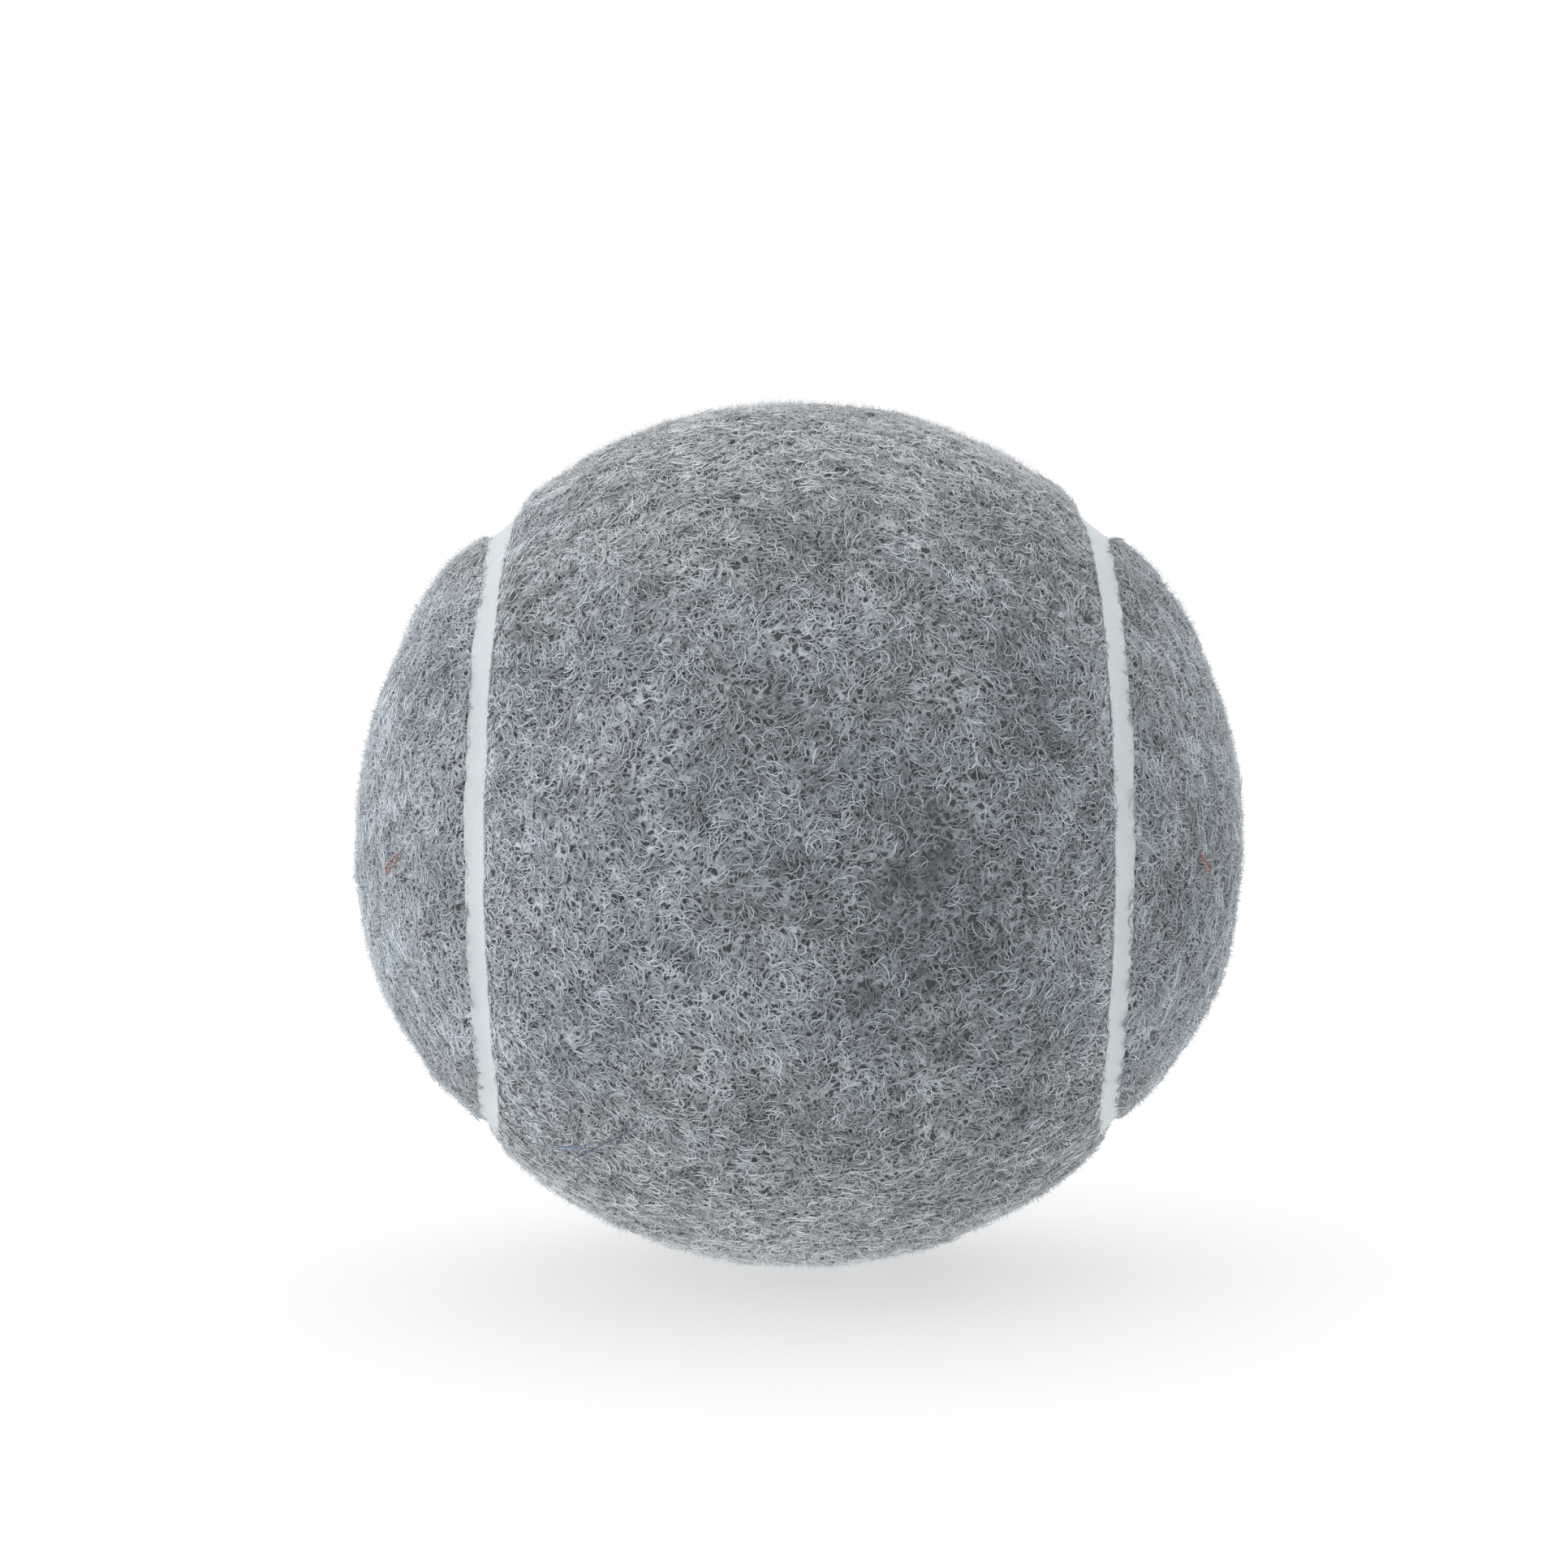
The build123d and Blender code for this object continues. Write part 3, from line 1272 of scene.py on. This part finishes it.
@dataclass
class Fuzz:
    """The short, fine ends of fibres that stand up from a panel."""

    panel: FeltPanel
    ends: int = 36000
    tries: int = 4
    edge_length: float = 0.5
    height: Range = (0.30 * MM, 0.74 * MM)
    thickness: Range = (0.06 * MM, 0.09 * MM)
    root: float = 0.20 * MM
    lean: float = 0.9
    bare_edge: float = 0.1 * MM
    waist_density: float = 0.45
    waist_end: float = 0.6
    shade: Range = (0.52, 0.84)
    finish: NapFinish = NapFinish()
    seed: int = 53

    def build(self) -> Object:
        """Scatters the ends over the panel.

        Returns:
            The piece that they make.
        """
        panel, shape = self.panel, self.panel.shape
        rng = np.random.default_rng(self.seed + (panel.side is Side.BACK))
        roots = unit(rng.normal(size=(self.ends * self.tries, 3)))
        dense = np.interp(roots[:, 1], (-self.waist_end, 0.0), (self.waist_density, 1.0))
        kept = (rng.uniform(0, 1, len(roots)) < dense) & (shape.inset(roots) > self.bare_edge)
        roots = roots[kept][: self.ends]
        count = len(roots)
        short = self.edge_length + (1 - self.edge_length) * shape.up_shoulder(roots)
        up = shape.upright(roots)
        first, second = tangents(up)
        turn, lean = rng.uniform(0, 2 * math.pi, count), rng.uniform(0, self.lean, count)
        way = between(up, between(first, second, turn), lean)
        across, above = tangents(way)
        half = rng.uniform(*self.thickness, count) / 2
        length = rng.uniform(*self.height, count) * short
        foot = roots * (panel.ground(roots) + self.root * short)[:, None]
        fibres = copies(self._end(), count)
        points = foot[:, None]
        for column, axis in enumerate((across * half[:, None], above * half[:, None], way * length[:, None])):
            points = points + fibres[1][None, :, column, None] * axis[:, None]
        material = self.finish.material(f"felt_fuzz_{panel.side.value}")
        shade = rng.uniform(*self.shade, count)
        return panel.lay(f"fuzz_{panel.side.value}", fibres, points, shade, material)

    @staticmethod
    def _end() -> BMesh:
        """Makes one end, a three-sided spike of height 1.

        Returns:
            The spike, which stands on the origin.
        """
        spike = bmesh.new()
        bmesh.ops.create_cone(spike, cap_ends=True, segments=3, radius1=1.0, radius2=0.0, depth=1.0)
        bmesh.ops.translate(spike, verts=spike.verts, vec=(0, 0, 0.5))
        bmesh.ops.recalc_face_normals(spike, faces=spike.faces)
        return spike


class Dye(Enum):
    """The colours of the stray fibres."""

    RED = (0.50, 0.13, 0.10)
    NAVY = (0.075, 0.10, 0.24)
    BLUE = (0.15, 0.29, 0.50)


@dataclass(frozen=True)
class DyedFinish(Finish):
    """A fibre of another colour, which got into the cloth by chance."""

    dye: Dye
    fading: float = 0.45
    faded_grey: float = 0.2
    patch: float = 0.5 * MM
    patch_range: Range = (0.35, 0.7)
    roughness: float = 0.8
    specular: float = 0.2

    def paint(self, nodes: Nodes) -> None:
        """Colours the fibre with the dye, uneven along it.

        Args:
            nodes: the material's nodes.
        """
        faded = tuple((1 - self.fading) * value + self.faded_grey for value in self.dye.value)
        patches = nodes.spread(nodes.noise(self.patch), *self.patch_range)
        colour = nodes.mix(patches, self.dye.value, faded)
        nodes.finish(Base_Color=colour, Roughness=self.roughness, Specular_IOR_Level=self.specular)


@dataclass(frozen=True)
class Stray:
    """One fibre of another colour on top of the nap."""

    name: str
    side: Side
    dye: Dye
    start: Place
    heading: float
    curl: float
    bend: float
    length: float
    thickness: float = 0.13 * MM
    lift: float = 0.04 * MM
    stations: int = 24

    def build(self, panel: FeltPanel) -> Object:
        """Lays the fibre over the nap of its panel.

        Args:
            panel: the panel that it lies on.

        Returns:
            The new piece.
        """
        shape = panel.shape
        directions, ways = self._track(shape.radius)
        heights = shape.height(panel.seated(directions)) + self.lift
        mesh, template = copies(rod(self.stations), 1)
        half = np.array([self.thickness / 2])
        path = directions * heights[:, None]
        points = bend_along(path[None], ways[None], directions[None], half, template)
        move_to(mesh, shape.placed(points.reshape(-1, 3)))
        return new_piece(self.name, mesh, DyedFinish(self.dye).material(self.name))

    def _track(self, radius: float) -> tuple[Array, Array]:
        """Follows the fibre over the ball.

        Args:
            radius: the ball's radius.

        Returns:
            The stations' directions from the centre, and the fibre's direction at each.
        """
        here = unit(np.array([self.start]))
        directions, ways = [], []
        for along in np.linspace(0, 1, self.stations):
            level, upward = tangents(here)
            turn = self.heading + self.curl * np.clip((along - 0.5) / self.bend + 0.5, 0, 1)
            way = math.cos(turn) * level + math.sin(turn) * upward
            directions.append(here[0])
            ways.append(way[0])
            here = unit(here + way * (self.length / (self.stations - 1) / radius))
        return np.array(directions), np.array(ways)


STRAYS = (
    Stray(
        name="stray_navy", side=Side.FRONT, dye=Dye.NAVY, start=(-16.38 * MM, -19.24 * MM, -21.84 * MM),
        heading=0.38, curl=0.15, bend=1.0, length=8.8 * MM,
    ),
    Stray(
        name="stray_blue", side=Side.FRONT, dye=Dye.BLUE, start=(-17.64 * MM, -19.34 * MM, -20.75 * MM),
        heading=-0.35, curl=0.65, bend=1.0, length=2.8 * MM,
    ),
    Stray(
        name="stray_red_left", side=Side.BACK, dye=Dye.RED, start=(-28.49 * MM, -17.43 * MM, 0.12 * MM),
        heading=-2.61, curl=3.25, bend=0.16, length=5.4 * MM,
    ),
    Stray(
        name="stray_red_right", side=Side.BACK, dye=Dye.RED, start=(28.49 * MM, -17.43 * MM, 0.12 * MM),
        heading=-0.53, curl=-3.25, bend=0.16, length=5.4 * MM,
    ),
)


@dataclass
class SeamStrip:
    """The loop of seam rubber between the panels: four half circles that run into each other."""

    shape: BallShape
    tuck: float = 0.45 * MM
    foot: float = 0.85 * MM
    ripple: float = 0.02 * MM
    fine_ripple: Range = (0.8 * MM, 2.5 * MM)
    broad_ripple: Range = (4 * MM, 12 * MM)
    free_height: float = 1.5 * MM
    join: float = 0.004 * MM
    steps: int = 260
    across: int = 13
    finish: RubberFinish = SEAM_RUBBER
    seed: int = 11

    def build(self) -> Object:
        """Sweeps the cross-section round the ball and roughens it.

        Returns:
            The seam.
        """
        loop = bmesh.new()
        self._arc(loop, (1, 0, 0))
        self._arc(loop, (0, 0, 1))
        other = bmesh.ops.duplicate(loop, geom=loop.verts[:] + loop.edges[:] + loop.faces[:])["geom"]
        turned = [v for v in other if isinstance(v, bmesh.types.BMVert)]
        bmesh.ops.rotate(loop, verts=turned, cent=(0, 0, 0), matrix=Matrix.Rotation(math.pi, 3, "Y"))
        bmesh.ops.remove_doubles(loop, verts=loop.verts, dist=self.join)
        bmesh.ops.recalc_face_normals(loop, faces=loop.faces)
        mesh = to_mesh(loop, "seam")
        rng = np.random.default_rng(self.seed)
        points = coordinates(mesh)
        radii = np.linalg.norm(points, axis=1)
        rough = Waves(rng, *self.fine_ripple, count=60).at(points)
        rough += Waves(rng, *self.broad_ripple).at(points)
        top = ((radii - self.shape.core_radius) / self.free_height).clip(0, 1)
        points *= (1 + self.ripple * rough * top / radii)[:, None]
        placed = self.shape.placed(points)
        move_to(mesh, points + (placed - points) * top[:, None])
        piece = new_piece("seam_rubber", mesh, self.finish.material("seam_rubber"))
        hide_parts("seam_strip")
        return piece

    def _arc(self, loop: BMesh, axis: tuple[int, int, int]) -> None:
        """Sweeps one half circle, from the line between +X and +Z.

        Args:
            loop: the mesh that it is added to.
            axis: the axis that it runs round.
        """
        out = Vector((1, 0, 1)).normalized()
        over = Vector((-1, 0, 1)).normalized()
        lip = self.shape.seam_width / 2 + self.tuck
        section = [
            (offset, self.shape.seam_radius + offset**2 / (2 * self.shape.seam_hollow))
            for offset in np.linspace(-lip, lip, self.across)
        ]
        section += [(offset, self.shape.core_radius) for offset in (self.foot, -self.foot)]
        ring = [loop.verts.new(out * radius + over * offset) for offset, radius in section]
        edges = [loop.edges.new((a, b)) for a, b in zip(ring, ring[1:] + ring[:1])]
        bmesh.ops.spin(loop, geom=ring + edges, axis=axis, angle=math.pi, steps=self.steps)


@dataclass
class Core:
    """The hidden pieces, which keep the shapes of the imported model."""

    finishes: dict[str, tuple[RubberFinish, tuple[str, ...]]] = field(
        default_factory=lambda: {
            "core_rubber": (CORE_RUBBER, ("core_shell_upper", "core_shell_lower")),
            "core_cement": (CORE_CEMENT, ("core_joint_ring",)),
            "felt_cement": (FELT_CEMENT, ("felt_cement_front", "felt_cement_back")),
        }
    )

    def dress(self) -> None:
        """Gives each hidden piece its finish."""
        for slot, (finish, nodes) in self.finishes.items():
            material = finish.material(slot)
            for node in nodes:
                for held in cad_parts[node].material_slots:
                    held.material = material
                log.info("%s: dressed as %s", node, slot)


@dataclass
class TennisBall:
    """The whole ball."""

    shape: BallShape = field(default_factory=BallShape)
    wear_and_light: WearAndPaintedLight = field(default_factory=WearAndPaintedLight)
    cut_width: float = 0.050
    cut_length: float = 0.148
    cut_area: float = 0.0062

    def build(self) -> None:
        """Builds and dresses every piece."""
        for side in Side:
            panel = FeltPanel(side, self.shape, self.wear_and_light)
            ground = panel.build()
            nap = [*Nap(panel).build(), Fuzz(panel).build()]
            nap += [stray.build(panel) for stray in STRAYS if stray.side is side]
        SeamStrip(self.shape).build()
        Core().dress()


@dataclass
class Studio:
    """The floor, the light and the camera."""

    floor_level: float = -33.5 * MM
    floor_radius: float = 5.0
    floor_sides: int = 96
    floor_colour: Colour = (0.55, 0.55, 0.55)
    floor_glow: float = 0.47
    sky: float = 1.05
    backdrop: float = 0.32
    sun: float = 0.20
    sun_spread: float = 0.9
    sun_place: Place = (-0.70, -0.60, 0.38)
    distance: float = 0.250
    elevation: float = math.radians(4)
    lens: float = 74.7
    sensor: float = 36.0
    image_side: int = 1932
    ball_centre: Range = (985.0, 1028.0)

    def build(self) -> None:
        """Sets up the studio."""
        self._floor()
        self._world()
        self._lamp()
        self._camera()
        bpy.context.scene.view_settings.view_transform = "Standard"
        bpy.context.scene.cycles.denoising_prefilter = "NONE"

    def _floor(self) -> None:
        """Lays a pale floor under the ball."""
        disc = bmesh.new()
        bmesh.ops.create_circle(disc, cap_ends=True, segments=self.floor_sides, radius=self.floor_radius)
        bmesh.ops.translate(disc, verts=disc.verts, vec=(0, 0, self.floor_level))
        mesh = to_mesh(disc, "floor")
        material = bpy.data.materials.new("floor")
        Nodes(material).finish(
            Base_Color=(*self.floor_colour, 1.0),
            Roughness=1.0,
            Specular_IOR_Level=0.0,
            Emission_Color=(1, 1, 1, 1),
            Emission_Strength=self.floor_glow,
        )
        mesh.materials.append(material)
        floor = in_scene("floor", mesh)
        floor.visible_diffuse = False
        floor.visible_shadow = False

    def _world(self) -> None:
        """Lights the ball from all round, most from the backdrop, which is white where it is seen."""
        world = bpy.data.worlds.new("studio")
        bpy.context.scene.world = world
        nodes = Nodes(world)
        seen = nodes.add("ShaderNodeLightPath", output="Is Camera Ray")
        for ray in ("Is Glossy Ray", "Is Transmission Ray"):
            seen = seen.at_least(nodes.add("ShaderNodeLightPath", output=ray))
        way = nodes.add("ShaderNodeTexCoord", output="Generated")
        glow = nodes.add("ShaderNodeSeparateXYZ", inputs={0: way}, output="Y") * self.backdrop + self.sky
        strength = glow + seen * (1 - glow)
        light = nodes.add("ShaderNodeBackground", inputs={"Color": (1, 1, 1, 1), "Strength": strength})
        nodes.add("ShaderNodeOutputWorld", inputs={"Surface": light})

    def _lamp(self) -> None:
        """Adds a soft, even light from the left, in front and above."""
        data = bpy.data.lights.new("key", "SUN")
        data.energy = self.sun * math.pi
        data.angle = self.sun_spread
        lamp = in_scene("key", data)
        lamp.rotation_euler = (-Vector(self.sun_place)).to_track_quat("-Z", "Y").to_euler()

    def _camera(self) -> None:
        """Looks along +Y, with the ball where the photograph has it."""
        data = bpy.data.cameras.new("camera")
        data.lens = self.lens
        data.sensor_width = self.sensor
        half = self.image_side / 2
        data.shift_x = -(self.ball_centre[0] - half) / self.image_side
        data.shift_y = (self.ball_centre[1] - half) / self.image_side
        camera = in_scene("camera", data)
        across, up = self.distance * math.cos(self.elevation), self.distance * math.sin(self.elevation)
        camera.location = (0, -across, up)
        camera.rotation_euler = (math.pi / 2 - self.elevation, 0, 0)
        bpy.context.scene.camera = camera


def main() -> None:
    """Builds the ball and its stage."""
    logging.basicConfig(level=logging.INFO, format="%(name)s: %(message)s")
    TennisBall().build()
    Studio().build()


if __name__ == "__main__":
    main()
